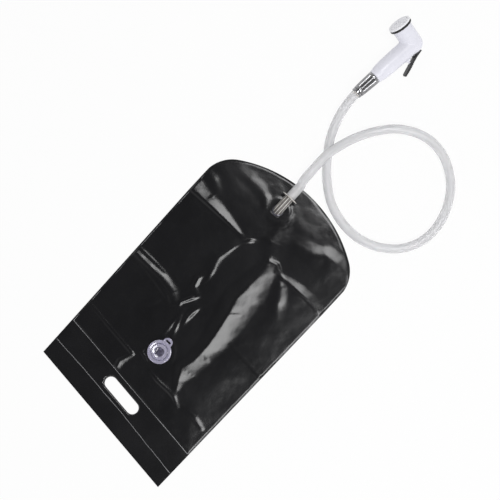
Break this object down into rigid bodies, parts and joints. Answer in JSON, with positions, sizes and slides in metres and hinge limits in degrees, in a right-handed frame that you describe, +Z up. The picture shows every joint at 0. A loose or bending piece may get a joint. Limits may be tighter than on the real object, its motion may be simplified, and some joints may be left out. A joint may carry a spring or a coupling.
{
  "type": "portable shower",
  "caption": "Flat film water bag with a hand slot, fill valve and spout, joined by a looped hose to a hand shower with a squeeze lever.",
  "frame": {"origin": "on the ground, under the middle of the bag and handset together, leaving out the hose", "axes": "+Y from the bag's hem towards the handset, +Z up from the ground, +X across the bag towards the hose's loop"},
  "size_m": [0.3705, 0.8927, 0.0539],
  "materials": {
    "back_panel": "smooth black vinyl film",
    "front_panel": "smooth black vinyl film",
    "header_strip": "smooth black vinyl film",
    "fill_valve_base": "clear soft vinyl",
    "fill_stopper": "clear soft vinyl",
    "outlet_flange": "clear soft vinyl",
    "spout_tube": "clear soft vinyl",
    "hose_connector": "clear moulded plastic",
    "hose": "milky translucent hose",
    "hose_tail": "turned",
    "nut_ferrule": "bright plated",
    "swivel_nut": "bright plated, fluted",
    "nut_washer": "matte",
    "handset_body": "polished white",
    "face_seal": "matte",
    "face_ring": "polished white",
    "spray_plate": "polished white",
    "valve_seat": "turned",
    "valve_stem": "white moulded, satin",
    "valve_seal": "matte",
    "valve_spring": "spring wire",
    "valve_gland": "white moulded, satin",
    "gland_oring": "matte",
    "trigger_lever": "fine satin",
    "lever_pin": "ground"
  },
  "bodies": {
    "shower": {"back_panel": "back_panel", "front_panel": "front_panel", "header_strip": "header_strip", "fill_valve_base": "fill_valve_base", "outlet_flange": "outlet_flange", "spout_tube": "spout_tube", "hose_connector": "hose_connector", "hose": "hose", "hose_tail": "hose_tail", "nut_ferrule": "nut_ferrule", "nut_washer": "nut_washer", "handset_body": "handset_body", "face_seal": "face_seal", "face_ring": "face_ring", "spray_plate": "spray_plate", "valve_seat": "valve_seat", "valve_spring": "valve_spring", "valve_gland": "valve_gland", "gland_oring": "gland_oring", "lever_pin": "lever_pin"},
    "lever": {"trigger_lever": "trigger_lever"},
    "stem": {"valve_stem": "valve_stem", "valve_seal": "valve_seal"},
    "nut": {"swivel_nut": "swivel_nut"},
    "stopper": {"fill_stopper": "fill_stopper"}
  },
  "joints": [
    {"name": "lever_press", "type": "hinge", "parent": "shower", "child": "lever", "pos_m": [-0.03402, 0.40771, 0.01253], "axis": [-0.4014, -0.008, -0.9159], "range_deg": [0, 16], "stiffness_Nm_per_rad": 0.4, "springref_deg": -8.59},
    {"name": "stem_slide", "type": "slide", "parent": "shower", "child": "stem", "axis": [-0.9109, 0.108, 0.3982], "range_m": [0, 0.00385], "deforming": ["valve_spring"]},
    {"name": "nut_spin", "type": "hinge", "parent": "shower", "child": "nut", "pos_m": [-0.05642, 0.31384, 0.02316], "axis": [0.0957, 0.9941, -0.0506], "continuous": true},
    {"name": "stopper_pull", "type": "slide", "parent": "shower", "child": "stopper", "axis": [0, 0, 1], "range_m": [0, 0.025]}
  ],
  "couplings": [
    {"joint": "stem_slide", "follows": "lever_press", "m_per_rad": 0.013665}
  ]
}
